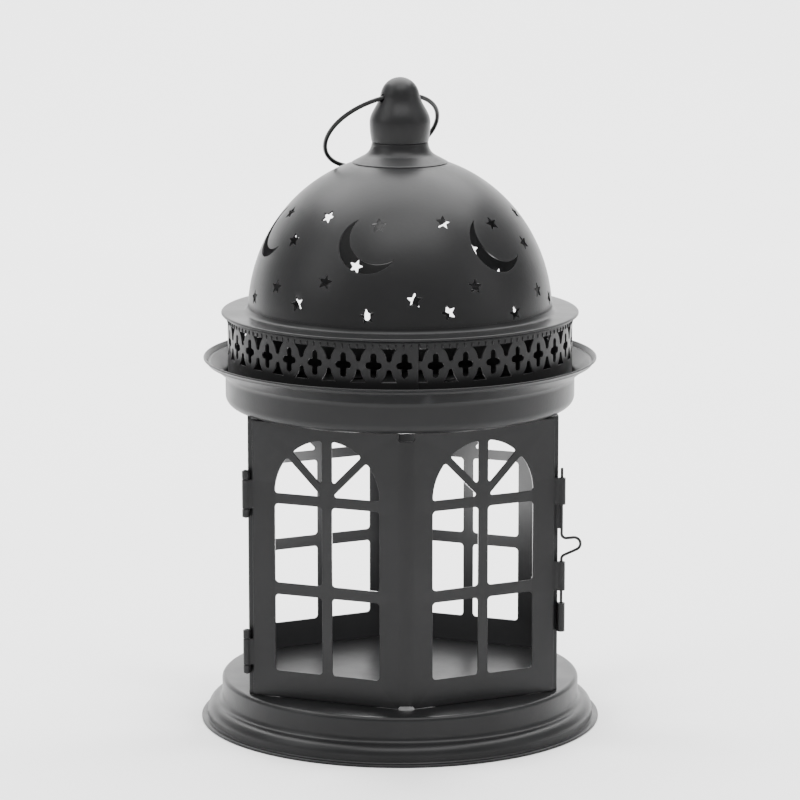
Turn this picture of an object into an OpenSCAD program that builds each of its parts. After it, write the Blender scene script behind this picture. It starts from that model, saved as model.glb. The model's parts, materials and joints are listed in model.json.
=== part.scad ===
// Pierced sheet-metal candle lantern: a six-sided windowed body between two round
// pans, a domed lid on an openwork gallery band, and a finial with a carrying ring.
// Millimetres, +Z up, origin at the centre of the plane it stands on, door at -Y.

/* [Sheet] */
// Thickness of all the pressed sheet
sheet_t = 0.6; // [0.5:0.05:0.7]

/* [Base pan] */
// Outer radius of the lip that rests on the table
base_r = 70; // [69.5:0.5:74]
// Radius of the raised floor's wall
floor_r = 62.7; // [62.5:0.1:62.9]
// Height of the raised floor above the table
floor_z = 15.5; // [15.3:0.1:15.7]

/* [Body] */
// Distance of the side walls' outer faces from the centre
side_x = 53.2; // [52.8:0.1:53.4]
// Half length of a side wall
side_y = 29.5; // [29:0.1:30]
// Distance of the front and back corners from the centre
corner_y = 53.5; // [53:0.1:54]
// Outer bend radius at the door's middle corner
door_bend_r = 7; // [5:0.5:8]

/* [Windows] */
// Width of a window
window_w = 38.5; // [36:0.5:39.5]
// Height of a window's lower edge
window_z = 25; // [24:0.5:27]
// Height where the arch starts
arch_z = 87.3; // [86.5:0.1:88]
// Width of the upright and level glazing bars
bar_w = 3.7; // [3:0.1:4.5]
// Width of the slanting bars in the arch
fan_bar_w = 2.7; // [2:0.1:3.5]

/* [Top tray] */
// Radius of the tray's upright wall
tray_r = 60.7; // [60.6:0.1:61]
// Outer radius of the tray's lip
tray_lip_r = 68.3; // [68:0.1:69.5]
// Height of the tray's lip
tray_lip_z = 128.8; // [128.5:0.1:129.2]
// Height of the tray's underside
tray_z = 112; // [112:0.05:112.3]
// Radius of the hole that lets warm air up into the dome
vent_r = 36; // [20:1:40]

/* [Gallery] */
// Outer radius of the openwork band
band_r = 59.8; // [59.6:0.05:59.85]
// Number of openwork motifs round the band
motifs = 36; // [30:1:36]
// Height of the middle of the openwork
motif_z = 135.3; // [135:0.1:136]

/* [Dome] */
// Radius of the dome at its foot
dome_r = 52.8; // [52.5:0.1:53]
// Height of the dome above its foot
dome_h = 55; // [54.8:0.1:55.2]
// Outer radius of the dome's flange
flange_r = 62; // [61.5:0.1:63]
// Height of the top of the dome's flange
flange_z = 144.7; // [144.6:0.05:144.8]
// Distance from the centre to a point of a star
star_r = 2.9; // [2.4:0.1:3.2]
// Radius of a crescent's outer edge
moon_r = 10.5; // [10:0.1:10.8]

/* [Ring] */
// Wire diameter of the carrying ring
ring_wire_d = 1.4; // [1.2:0.1:1.6]
// Diameter of the carrying ring at the middle of its wire
ring_d = 41; // [40:0.5:42]
// How far the ring leans below level where it rests on the dome, in degrees
ring_lean = 43; // [38:0.5:43.5]

/* [Hidden] */

$fn = 72;
overlap = 0.02;                 // cutters and joined solids run past each other by this
cut = 20;                       // length of a cutter that goes through one wall
black = [0.17, 0.17, 0.18];
dark = [0.12, 0.12, 0.13];
steel = [0.35, 0.35, 0.36];

// Corners of the body's outer faces, seen from above
front = [0, -corner_y];
right_front = [side_x, -side_y];
right_back = [side_x, side_y];
back = [0, corner_y];
left_front = [-side_x, -side_y];
wall_bend_r = 2.2;
wall_bottom = floor_z;
wall_top = tray_z;
tab_w = 7;                      // width of the tabs that hold the walls to both pans
tab_fold = 5;                   // length of a tab's folded end
tab_at = 12;                    // from the middle of a face to a tab
tab_play = 0.1;                 // room round a tab in its slot
window_mid = norm(front - right_front) / 2;

// Door
door_bottom = floor_z + 0.3;
door_top = tray_z - 0.35;
door_edge_gap = 1.6;            // the leaf stops this far short of each outer corner
jamb_gap = 0.5;                 // between the leaf and the jamb behind it
jamb_w = 6;
notch_w = 6;
notch_top_h = 3.4;
notch_bottom_h = 1.3;
outward = unit(unit(right_front - right_back) + unit(right_front - front));

// Hinge: pins run up the left front corner, just outside it
hinge_out = 0.9;
hinge_xy = left_front + hinge_out * [-outward.x, outward.y];
pin_r = 0.6;
hinge_knuckle_r = 1.35;
hinge_upper = [78.2, 94.2];     // span of the upper hinge in height
hinge_lower = [23.3, 38.4];
ear_h = 2.8;                    // height of each of the wall's two ears on a hinge
ear_gap = 0.2;
ear_clearance = 0.02;
running = 0.05;                 // running clearance on the radius

// Latch: a wire bolt slides in two knuckles on the door and drops into a keeper
latch_out = 1.3;
latch_xy = right_front + latch_out * outward;
bolt_r = 0.5;
latch_knuckle_r = 1.3;
guide_upper = [81.6, 90.9];     // spans of the door's two guides in height
guide_lower = [51.4, 61.5];
keeper = [36.9, 47];            // span of the wall's keeper in height
backing = [72.6, 81.4];         // span of the wall's tab behind the bolt in height
backing_w = 1.6;                // how far that tab stands out from the side wall
bolt_top = 94;
bolt_tip = keeper[1] + 0.2;
wire_lap = 0.1;
loop_z = 62.4;                  // height where the wire leaves its axis for the finger loop
loop_bend_r = 1.6;              // bends at the loop's root
loop_tip_r = 2.2;               // bend at the loop's tip
loop_out = 66;                  // turn outward at the lower root, in degrees
loop_back = 95;                 // turn back upward at the upper root
loop_upper = 2.38;              // straight stretch on the loop's upper side
loop_lower = (loop_tip_r * (cos(loop_out) - cos(loop_back)) + loop_upper * sin(loop_back)
    + loop_bend_r * (cos(loop_out) - cos(loop_back))) / sin(loop_out);
loop_rise = loop_bend_r * (sin(loop_out) + sin(loop_back)) + loop_lower * cos(loop_out)
    + loop_tip_r * (sin(loop_out) + sin(loop_back)) + loop_upper * cos(loop_back);

// Fasteners
rivet_fit = 0.05;
small_rivet_r = 1;
small_rivet_head_r = 1.7;
small_rivet_head_h = 0.5;
rivet_seat = 0.03;              // a flat head stands this far off a curved face
seam_depth = 9;                 // how far the back seam stands into the body
seam_gap = 0.03;
seam_rivet_z = [30, 64, 98];
screw_r = 1.95;
screw_hole_r = 2.2;

// Gallery
gallery_rivet_at = 42;          // distance of the tongues' rivets from the centre
gallery_flange_r = 55.8;        // inner radius of the band's turned-in foot
gallery_floor = tray_z + sheet_t;
tongue_w = 8;
motif_depth = 6;                // depth of the cutters of the openwork
upright_lobes = [2, 8.3];       // width and height of a motif's upright slot
level_lobes = [2.3, 5.5];       // the same for its level slot
horn_stem_r = 0.85;             // round end of a horn-shaped opening
horn_foot = 2.2;                // from the motif's middle line to that end's centre
horn_top = 5.7;
horn_top_w = 5.3;
motif_turn = -0.9;              // angle of the first motif from the front
band_seam_angle = 3.5;
band_rivet_z = [119, 125];
band_rivet_head_h = 0.4;

// Dome
dome_z = flange_z - 0.9;        // height of the widest section of the dome
dome_steps = 18;
repeat_angle = 60;              // the cut-out pattern repeats six times
cut_lean = 1.5;                 // the whole pattern leans to the right by this many degrees
cut_lean_z = 144;               // height it leans about
moon_angle = -17;               // angle of the first crescent from the front
moon_z = 173.5;
moon_bite_r = 10.1;             // radius of a crescent's inner edge
moon_shift = 4.25;              // from the centre of its outer edge to that of its inner edge
moon_tilt = 46;                 // direction of that shift above level
star_waist = 0.44;              // inner radius of a star as a share of its outer radius
// Stars of one repeat: angle from the crescent, height, turn of the star
star_places = [[3.2, 179.3, 8], [34.7, 180.6, -10], [-27.4, 152, 20], [-15.9, 160.3, -6],
    [2.3, 150.2, 12], [19.7, 156.1, 0]];
odd_star = [20.7, 171.9, 15];   // found in every second repeat only
hem_t = 1;                      // thickness of a folded-over edge

// Finial
lobe_r = 6.7;
lobe_z = 218.8;
bulb_r = 10.5;
bulb_foot_r = 9.8;
bulb_bottom = 203.2;
bulb_wide_z = 210;
bulb_neck_z = 220.3;
bulb_t = 0.8;
foot_top = bulb_bottom - 0.05;
screw_head_z = dome_z + dome_h - sheet_t - 1.15;
screw_head_r = 3.8;
screw_head_h = 2.4;
washer_r = 4.5;
ring_axis_z = 218.5;
ring_hole_r = 1.4;
ring_turn = 25;                 // turn of the ring's pivot axis about the vertical
ring_reach = 19.3;              // from the pivot axis to the ring's centre

// ---------- geometry helpers ----------
function unit(v) = v / norm(v);
function left_of(v) = [-v.y, v.x];
function arc(c, r, a0, a1, n = 6) = [for (i = [0:n]) let(a = a0 + (a1 - a0) * i / n) c + r * [cos(a), sin(a)]];

// Rounded corner at p on the way from a to b
function bend(a, p, b, r, n = 5) = let(
    u = unit(a - p),
    v = unit(b - p),
    half = acos(u * v) / 2,
    c = p + unit(u + v) * r / sin(half),
    s = p + u * r / tan(half) - c,
    e = p + v * r / tan(half) - c,
    a0 = atan2(s.y, s.x),
    turn = (atan2(e.y, e.x) - a0 + 540) % 360 - 180
) arc(c, r, a0, a0 + turn, n);

// The point beside p[i], a distance t to the left of the path
function beside(p, i, t) = let(
    into = unit(i > 0 ? p[i] - p[i - 1] : p[i + 1] - p[i]),
    out = unit(i < len(p) - 1 ? p[i + 1] - p[i] : p[i] - p[i - 1]),
    n = unit(left_of(into) + left_of(out))
) p[i] + n * t / (n * left_of(into));
function back_along(p, t) = [for (i = [len(p) - 1:-1:0]) beside(p, i, t)];

// A sheet's section: the path, extra points round its far edge, and the path's other face
function sheet(p, t, edge = []) = concat(p, edge, back_along(p, t));

// The same for a round piece, whose section may not cross the axis
function turned(p, t, edge = []) = [for (q = sheet(p, t, edge)) [max(q.x, 0), q.y]];

// Wire drawn upward from the origin, running a little into the bends at both ends;
// the children go on from its end
module wire_line(r, h) {
    translate([0, 0, -wire_lap]) cylinder(r = r, h = h + 2 * wire_lap);
    translate([0, 0, h]) children();
}

// A bend of the wire toward +X, or toward -X for a negative angle
module wire_bend(r, bend_r, angle) {
    side = sign(angle);
    translate([side * bend_r, 0, 0]) rotate([90, 0, side > 0 ? 180 : 0])
        mirror([0, 0, side > 0 ? 1 : 0]) rotate_extrude(angle = abs(angle)) translate([bend_r, 0])
            circle(r = 1.1 * r);
    translate([side * bend_r * (1 - cos(angle)), 0, bend_r * sin(abs(angle))]) rotate([0, angle, 0]) children();
}

module knuckle(xy, span, outer_r) {
    translate([xy.x, xy.y, span[0]]) cylinder(r = outer_r, h = span[1] - span[0]);
}

module rivet(r, head_r, head_h, grip) {
    cylinder(r = r, h = grip);
    translate([0, 0, -head_h]) cylinder(r = head_r, h = head_h);
    translate([0, 0, grip]) cylinder(r = head_r, h = head_h);
}

// Puts its children on the face from corner a to corner b: x along it, y up, z outward
module on_face(a, b) {
    d = b - a;
    translate([a.x, a.y, 0]) rotate([0, 0, atan2(d.y, d.x)]) rotate([90, 0, 0]) children();
}

// ---------- windows ----------
module window_panes() {
    level_bars = [[51.9, 56], [83.6, 87.2]];
    difference() {
        union() {
            translate([-window_w / 2, window_z]) square([window_w, arch_z - window_z]);
            translate([0, arch_z]) circle(r = window_w / 2);
        }
        translate([-bar_w / 2, 0]) square([bar_w, wall_top]);
        for (b = level_bars) translate([-window_w, b[0]]) square([2 * window_w, b[1] - b[0]]);
        for (s = [-1, 1]) translate([0, arch_z]) rotate(s * 45) translate([-fan_bar_w / 2, 0])
            square([fan_bar_w, window_w]);
    }
}

module window_cut(a, b) {
    on_face(a, b) translate([norm(b - a) / 2, 0, -cut / 2]) linear_extrude(cut) window_panes();
}

// ---------- base pan ----------
module base_pan() {
    edge_r = 1.5;
    fillet_r = 1.9;
    bulge_r = 3.5;
    bulge = [64.2, 3.1];
    outer = concat(
        [[0, floor_z]],
        arc([floor_r - edge_r, floor_z - edge_r], edge_r, 90, 0, 4),
        arc([floor_r + fillet_r, 8.5], fillet_r, 180, 262, 5),
        arc(bulge, bulge_r, 80, -12, 7),
        [[bulge.x + bulge_r, hem_t]]);
    lip = [[base_r - 0.3, hem_t], [base_r, hem_t - 0.3], [base_r, 0.3], [base_r - 0.3, 0],
        [bulge.x + bulge_r - sheet_t, 0]];
    color(black) difference() {
        rotate_extrude() polygon(turned(outer, -sheet_t, lip));
        tab_slots(floor_z);
    }
}

// ---------- fixed walls ----------
// Places its children at the tabs of the right hand wall's two faces, x along the face
// and y inward from the sheet's outer face
module right_tab_places() {
    for (f = [[right_front, right_back], [right_back, back]], s = [-tab_at, tab_at]) {
        d = unit(f[1] - f[0]);
        p = (f[0] + f[1]) / 2 + d * s;
        translate([p.x, p.y, 0]) rotate([0, 0, atan2(d.y, d.x)]) translate([-tab_w / 2, 0, 0]) children();
    }
}

// Slots for the tabs of both walls, through a pan whose sheet lies near height z
module tab_slots(z) {
    for (m = [0, 1]) mirror([m, 0, 0]) right_tab_places() translate([-tab_play, -tab_play, z - 2])
        cube([tab_w + 2 * tab_play, sheet_t + 2 * tab_play, 4]);
}

// A tab that goes up through a sheet from height z and folds inward over it
module tab() {
    reach = sheet_t + tab_play / 2;
    translate([0, 0, -overlap]) cube([tab_w, sheet_t, reach + sheet_t + overlap]);
    translate([0, 0, reach]) cube([tab_w, tab_fold, sheet_t]);
}

// The right hand wall: side face and back right face, jamb at the front, seam at the back
module wall_blank() {
    along = unit(right_front - front);
    inward = left_of(along);
    jamb_line = right_front + inward * (sheet_t + jamb_gap);
    jamb_corner = jamb_line + along * (right_front.x - jamb_line.x) / along.x;
    seam_x = seam_gap;
    seam_top = [seam_x, back.y - seam_x * (back.y - side_y) / side_x];
    path = concat(
        [jamb_corner - along * jamb_w],
        bend(jamb_corner - along * jamb_w, jamb_corner, right_back, 0.8, 3),
        bend(jamb_corner, right_back, seam_top, wall_bend_r),
        bend(right_back, seam_top, [seam_x, 0], 0.8, 3),
        [[seam_x, back.y - seam_depth]]);
    difference() {
        union() {
            translate([0, 0, wall_bottom]) linear_extrude(wall_top - wall_bottom)
                polygon(sheet(path, sheet_t));
            right_tab_places() translate([0, 0, wall_top]) tab();
            right_tab_places() translate([0, 0, wall_bottom]) mirror([0, 0, 1]) tab();
        }
        window_cut(right_front, right_back);
        window_cut(right_back, back);
        for (z = seam_rivet_z) translate([-cut / 2, back.y - seam_depth / 2, z]) rotate([0, 90, 0])
            cylinder(r = small_rivet_r + rivet_fit, h = cut);
    }
}

// A strip of the side face reaching out to the line of a knuckle
module side_strip(xy, span) {
    reach = 3 - side_y - xy.y;
    translate([side_x - sheet_t, xy.y, span[0]]) cube([sheet_t, reach, span[1] - span[0]]);
}

module right_wall() {
    color(black) difference() {
        union() {
            wall_blank();
            side_strip(latch_xy, keeper);
            knuckle(latch_xy, keeper, latch_knuckle_r);
            translate([side_x - sheet_t / 2, 1.6 - side_y, backing[0]])
                cube([backing_w + sheet_t / 2, sheet_t, backing[1] - backing[0]]);
        }
        translate([latch_xy.x, latch_xy.y, 0]) cylinder(r = bolt_r + 2 * running, h = wall_top);
    }
}

function ears(span) = [[span[0], span[0] + ear_h], [span[1] - ear_h, span[1]]];

module left_wall() {
    mirrored_xy = [-hinge_xy.x, hinge_xy.y];
    color(black) mirror([1, 0, 0]) difference() {
        union() {
            wall_blank();
            for (hinge = [hinge_upper, hinge_lower], ear = ears(hinge)) {
                side_strip(mirrored_xy, ear);
                knuckle(mirrored_xy, ear, hinge_knuckle_r);
            }
        }
        translate([mirrored_xy.x, mirrored_xy.y, 0]) cylinder(r = pin_r + ear_clearance, h = wall_top);
    }
}

// ---------- fasteners of the body ----------
module back_seam_rivets() {
    grip = 2 * (sheet_t + seam_gap);
    color(dark) for (z = seam_rivet_z) translate([-grip / 2, back.y - seam_depth / 2, z]) rotate([0, 90, 0])
        rivet(small_rivet_r, small_rivet_head_r, small_rivet_head_h, grip);
}

module hinge_pin(span) {
    head_r = pin_r + 0.35;
    head_h = 0.4;
    color(dark) translate([hinge_xy.x, hinge_xy.y, span[0]]) {
        cylinder(r = pin_r, h = span[1] - span[0]);
        for (z = [-head_h, span[1] - span[0]]) translate([0, 0, z]) cylinder(r = head_r, h = head_h);
    }
}

module hinge_pin_upper() { hinge_pin(hinge_upper); }

module hinge_pin_lower() { hinge_pin(hinge_lower); }

// ---------- door ----------
// Points on the door's two outer faces, at a distance along each from its outer corner
function on_left(s) = left_front + s * unit(front - left_front);
function on_right(s) = right_front + s * unit(front - right_front);

module leaf_strip(left_s, right_s, z0, z1) {
    path = concat([on_left(left_s)], bend(left_front, front, right_front, door_bend_r, 8), [on_right(right_s)]);
    translate([0, 0, z0]) linear_extrude(z1 - z0) polygon(sheet(path, sheet_t));
}

module edge_strip(a, b, span) {
    n = left_of(unit(b - a)) * sheet_t;
    translate([0, 0, span[0]]) linear_extrude(span[1] - span[0]) polygon([a, b, b + n, a + n]);
}

// A stiffening fold along the leaf's upper or lower edge, clear of the jambs and the middle bend
module door_fold(a, b, z) {
    d = unit(b - a);
    n = left_of(d);
    p = a + d * (jamb_w + 5);
    q = b - d * (jamb_w + 5);
    translate([0, 0, z]) linear_extrude(sheet_t) polygon([p + n * sheet_t / 2, q + n * sheet_t / 2,
        q + n * 4 - d, p + n * 4 + d]);
}

module door_leaf() {
    hinge_mid = [for (h = [hinge_upper, hinge_lower]) [h[0] + ear_h + ear_gap, h[1] - ear_h - ear_gap]];
    hinge_s = (hinge_xy - left_front) * unit(front - left_front);
    latch_s = (latch_xy - right_front) * unit(front - right_front);
    color(black) difference() {
        union() {
            leaf_strip(door_edge_gap, door_edge_gap, door_bottom, door_top);
            for (z = [door_bottom, door_top - sheet_t]) {
                door_fold(left_front, front, z);
                door_fold(front, right_front, z);
            }
            for (span = hinge_mid) {
                edge_strip(on_left(hinge_s), on_left(2 * door_edge_gap), span);
                knuckle(hinge_xy, span, hinge_knuckle_r);
            }
            for (span = [guide_upper, guide_lower]) {
                edge_strip(on_right(2 * door_edge_gap), on_right(latch_s), span);
                knuckle(latch_xy, span, latch_knuckle_r);
            }
        }
        window_cut(left_front, front);
        window_cut(front, right_front);
        for (z = [[door_bottom - 1, door_bottom + notch_bottom_h], [door_top - notch_top_h, door_top + 1]])
            translate([-notch_w / 2, front.y - 1, z[0]]) cube([notch_w, 10, z[1] - z[0]]);
        translate([hinge_xy.x, hinge_xy.y, 0]) cylinder(r = pin_r + running, h = wall_top);
        translate([latch_xy.x, latch_xy.y, 0]) cylinder(r = bolt_r + running, h = wall_top);
    }
}

module latch_bolt() {
    start = bolt_tip + wire_lap;
    color(dark) translate([latch_xy.x, latch_xy.y, start]) wire_line(bolt_r, loop_z - start)
        wire_bend(bolt_r, loop_bend_r, loop_out) wire_line(bolt_r, loop_lower)
        wire_bend(bolt_r, loop_tip_r, -loop_out - loop_back) wire_line(bolt_r, loop_upper)
        wire_bend(bolt_r, loop_bend_r, loop_back) wire_line(bolt_r, bolt_top - loop_z - loop_rise);
}

// ---------- top tray ----------
module top_tray() {
    corner_r = 3.5;
    flare = [[tray_r, 121.8], [tray_r + 0.5, 122.9], [tray_r + 1.6, 124], [66.2, 127], [67.2, 127.3],
        [67.7, 128]];
    outer = concat(
        [[vent_r, tray_z]],
        arc([tray_r - corner_r, tray_z + corner_r], corner_r, -90, 0, 5),
        flare,
        [[tray_lip_r, tray_lip_z - 0.4]]);
    lip = [[tray_lip_r, tray_lip_z - 0.1], [tray_lip_r - 0.4, tray_lip_z]];
    color(black) difference() {
        rotate_extrude() polygon(turned(outer, sheet_t, lip));
        tab_slots(tray_z);
        gallery_rivet_places() translate([0, 0, -cut / 2]) cylinder(r = small_rivet_r + rivet_fit, h = cut);
    }
}

// ---------- gallery band ----------
module gallery_rivet_places() {
    for (i = [0:5]) rotate([0, 0, i * 60]) translate([gallery_rivet_at, 0, gallery_floor]) children();
}

module round_slot(size) {
    straight = size.y - size.x;
    square([size.x, straight], center = true);
    for (s = [-1, 1]) translate([0, s * straight / 2]) circle(d = size.x, $fn = 12);
}

// An opening that narrows from the border toward the motif's middle line
module horn() {
    side = [for (t = [0:0.25:1]) [horn_stem_r + (horn_top_w / 2 - horn_stem_r) * pow(t, 1.6),
        horn_foot + (horn_top - horn_foot) * t]];
    polygon(concat(side, [for (i = [4:-1:0]) [-side[i].x, side[i].y]]));
    translate([0, horn_foot]) circle(r = horn_stem_r, $fn = 12);
}

// A four-lobed opening, and the two horns that fill the gap before the next one
module motif_cut() {
    linear_extrude(motif_depth, center = true) {
        round_slot(upright_lobes);
        rotate(90) round_slot(level_lobes);
        for (m = [0, 1]) translate([PI * band_r / motifs, 0]) mirror([0, m]) horn();
    }
}

module gallery_band() {
    corner = [57.1, 115.5];
    corner_r = band_r - corner.x;
    top = flange_z - hem_t - 0.05;
    foot_z = corner.y - corner_r;
    outer = concat(
        [[gallery_flange_r, foot_z]],
        arc(corner, corner_r, -90, 0, 4),
        [[band_r, top - 0.6]],
        [[band_r - 0.6, top], [band_r - 3.4, top]]);
    color(black) difference() {
        union() {
            rotate_extrude() polygon(turned(outer, sheet_t));
            for (i = [0:5]) rotate([0, 0, i * 60]) translate([gallery_rivet_at - 3, -tongue_w / 2, foot_z])
                cube([gallery_flange_r + 1 - gallery_rivet_at + 3, tongue_w, sheet_t]);
        }
        for (i = [0:motifs - 1]) rotate([0, 0, motif_turn + i * 360 / motifs])
            translate([0, -band_r, motif_z]) rotate([90, 0, 0]) motif_cut();
        gallery_rivet_places() translate([0, 0, -cut / 2]) cylinder(r = small_rivet_r + rivet_fit, h = cut);
        seam_rivet_places() translate([0, 0, -cut / 2]) cylinder(r = small_rivet_r + rivet_fit, h = cut);
    }
}

module gallery_rivets() {
    color(dark) gallery_rivet_places() translate([0, 0, -sheet_t])
        rivet(small_rivet_r, small_rivet_head_r, small_rivet_head_h, 2 * sheet_t + 0.2);
}

module seam_rivet_places() {
    for (z = band_rivet_z) rotate([0, 0, band_seam_angle - 2]) translate([0, sheet_t + rivet_seat - band_r, z])
        rotate([90, 0, 0]) children();
}

module band_seam_rivets() {
    color(dark) seam_rivet_places() translate([0, 0, -band_rivet_head_h]) {
        cylinder(r = small_rivet_r, h = sheet_t + band_rivet_head_h);
        cylinder(r = small_rivet_head_r, h = band_rivet_head_h);
    }
}

// ---------- dome ----------
function dome_u(z) = asin((z - dome_z) / dome_h);
function dome_point(u) = [dome_r * cos(u), dome_z + dome_h * sin(u)];
function dome_tilt(u) = atan2(sin(u) / dome_h, cos(u) / dome_r);

// Puts its children on the dome at an angle from the front and a height: x to the right, y uphill
module on_dome(angle, z) {
    u = dome_u(z);
    p = dome_point(u);
    rotate([0, 0, angle - 90]) translate([p.x, 0, p.y]) rotate([0, 90 - dome_tilt(u), 0])
        rotate([0, 0, 90]) children();
}

module star(turn) {
    rotate(turn) linear_extrude(6, center = true)
        polygon([for (i = [0:9]) (i % 2 == 0 ? star_r : star_waist * star_r) * [sin(36 * i), cos(36 * i)]]);
}

module crescent() {
    linear_extrude(8, center = true) difference() {
        circle(r = moon_r);
        rotate(moon_tilt) translate([moon_shift, 0]) circle(r = moon_bite_r);
    }
}

module dome_cuts() {
    translate([0, 0, cut_lean_z]) rotate([0, cut_lean, 0]) translate([0, 0, -cut_lean_z]) for (k = [0:5]) {
        a = moon_angle + k * repeat_angle;
        on_dome(a, moon_z) crescent();
        for (s = star_places) on_dome(a + s[0], s[1]) star(s[2]);
        if (k % 2 == 1) on_dome(a + odd_star[0], odd_star[1]) star(odd_star[2]);
    }
}

module dome_shell() {
    fillet_r = 1.9;
    foot_u = dome_u(flange_z + fillet_r);
    top_u = acos(screw_hole_r / dome_r);
    outer = concat(
        [for (i = [0:dome_steps]) dome_point(top_u + (foot_u - top_u) * i / dome_steps)],
        arc([dome_point(foot_u).x + fillet_r, flange_z + fillet_r], fillet_r, 198, 270, 3),
        [[flange_r - 1.6, flange_z]]);
    hem = [[flange_r - 0.3, flange_z], [flange_r, flange_z - 0.3], [flange_r, flange_z - hem_t + 0.3],
        [flange_r - 0.3, flange_z - hem_t], [flange_r - 1.6, flange_z - hem_t]];
    color(black) difference() {
        rotate_extrude() polygon(turned(outer, -sheet_t, hem));
        dome_cuts();
    }
}

// ---------- finial ----------
module finial_foot() {
    sweep_r = 5.2;
    sweep = [bulb_foot_r + sweep_r, foot_top - 0.1];
    outer = concat([[screw_hole_r, foot_top], [bulb_foot_r - 0.3, foot_top]],
        arc(sweep, sweep_r, 184, 242, 5), [[16.5, 196.75]]);
    color(black) rotate_extrude() polygon(turned(outer, -sheet_t));
}

module finial_bulb() {
    rise = bulb_neck_z - bulb_wide_z;
    shoulder = [for (i = [1:9]) [lobe_r + (bulb_r - lobe_r) * (1 - cos(20 * i)) / 2, bulb_neck_z - rise * i / 9]];
    lower = [for (i = [1:4]) [bulb_r - (bulb_r - bulb_foot_r) * pow(i / 4, 2),
        bulb_wide_z - (bulb_wide_z - bulb_bottom) * i / 4]];
    outer = concat(arc([0, lobe_z], lobe_r, 90, 16, 7), shoulder, lower, [[screw_hole_r, bulb_bottom]]);
    color(black) difference() {
        rotate_extrude() polygon(turned(outer, -bulb_t));
        translate([0, 0, ring_axis_z]) rotate([0, 0, ring_turn]) rotate([0, 90, 0])
            cylinder(r = ring_hole_r, h = 4 * lobe_r, center = true);
    }
}

module finial_screw() {
    color(steel) {
        translate([0, 0, screw_head_z]) cylinder(r = screw_r, h = bulb_bottom + 5.5 - screw_head_z);
        translate([0, 0, screw_head_z - screw_head_h]) difference() {
            cylinder(r = screw_head_r, h = screw_head_h + overlap);
            translate([-5, -0.5, -1]) cube([10, 1, 2]);
        }
    }
}

module finial_washer() {
    color(steel) translate([0, 0, screw_head_z + overlap]) difference() {
        cylinder(r = washer_r, h = 0.8);
        translate([0, 0, -1]) cylinder(r = screw_hole_r, h = 3);
    }
}

module finial_nut() {
    color(steel) translate([0, 0, bulb_bottom + bulb_t + overlap]) difference() {
        cylinder(r = 4, h = 3.2, $fn = 6);
        translate([0, 0, -1]) cylinder(r = screw_r + 0.02, h = 6);
    }
}

// ---------- ring ----------
module ring_handle() {
    color(dark) translate([0, 0, ring_axis_z]) rotate([0, 0, ring_turn]) rotate([-ring_lean, 0, 0])
        translate([0, ring_reach, 0]) rotate_extrude() translate([ring_d / 2, 0]) circle(d = ring_wire_d, $fn = 24);
}

base_pan();
right_wall();
left_wall();
back_seam_rivets();
hinge_pin_upper();
hinge_pin_lower();
door_leaf();
latch_bolt();
top_tray();
gallery_band();
gallery_rivets();
band_seam_rivets();
dome_shell();
finial_foot();
finial_bulb();
finial_screw();
finial_washer();
finial_nut();
ring_handle();
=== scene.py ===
# A satin black sheet-metal candle lantern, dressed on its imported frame.
# Lengths in this script are millimetres; meshes are made in metres, in the frame's own axes.
import json
import math
import bpy
import numpy as np
from mathutils import Vector, Matrix
from mathutils.geometry import delaunay_2d_cdt


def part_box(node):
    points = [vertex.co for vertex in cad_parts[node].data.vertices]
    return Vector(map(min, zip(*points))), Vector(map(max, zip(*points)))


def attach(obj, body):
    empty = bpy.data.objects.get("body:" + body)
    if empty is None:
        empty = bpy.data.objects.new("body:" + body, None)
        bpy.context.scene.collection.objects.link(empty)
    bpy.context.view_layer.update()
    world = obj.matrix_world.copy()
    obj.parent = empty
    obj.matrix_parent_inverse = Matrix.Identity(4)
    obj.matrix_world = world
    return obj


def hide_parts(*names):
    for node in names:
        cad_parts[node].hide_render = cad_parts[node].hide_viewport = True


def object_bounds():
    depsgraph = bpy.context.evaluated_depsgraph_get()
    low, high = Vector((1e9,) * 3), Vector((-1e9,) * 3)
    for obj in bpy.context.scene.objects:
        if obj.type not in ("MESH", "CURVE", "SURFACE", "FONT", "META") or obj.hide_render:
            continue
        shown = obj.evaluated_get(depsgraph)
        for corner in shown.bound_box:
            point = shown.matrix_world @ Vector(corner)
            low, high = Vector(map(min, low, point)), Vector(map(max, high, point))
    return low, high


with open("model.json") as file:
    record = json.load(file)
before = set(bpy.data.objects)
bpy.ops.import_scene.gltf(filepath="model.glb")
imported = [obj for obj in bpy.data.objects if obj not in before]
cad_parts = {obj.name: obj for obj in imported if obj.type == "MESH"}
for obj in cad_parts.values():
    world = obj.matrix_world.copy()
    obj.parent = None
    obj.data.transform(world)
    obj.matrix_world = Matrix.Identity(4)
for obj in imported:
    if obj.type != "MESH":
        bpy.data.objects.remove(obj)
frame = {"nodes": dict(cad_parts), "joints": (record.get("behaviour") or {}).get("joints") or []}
size_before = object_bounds()

MM = 0.001
SMOOTH = math.cos(math.radians(32))     # edges sharper than this keep a crisp corner


def box(node):
    low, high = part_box(node)
    return low / MM, high / MM


# ---------- sizes read from the frame ----------
base_high = box("base_pan")[1]
tray_low, tray_high = box("top_tray")
band_high = box("gallery_band")[1]
dome_low, dome_high = box("dome_shell")
bulb_low, bulb_high = box("finial_bulb")
foot_low, foot_high = box("finial_foot")
bolt_low, bolt_high = box("latch_bolt")
pins = {name: box(name) for name in ("hinge_pin_upper", "hinge_pin_lower")}
joints = {j["name"]: j for j in frame["joints"]}
hinge_xy = np.array(joints["door_hinge"]["pos_m"][:2]) / MM
ring_axis = np.array(joints["ring_swing"]["axis"])
ring_pivot = np.array(joints["ring_swing"]["pos_m"]) / MM

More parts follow.
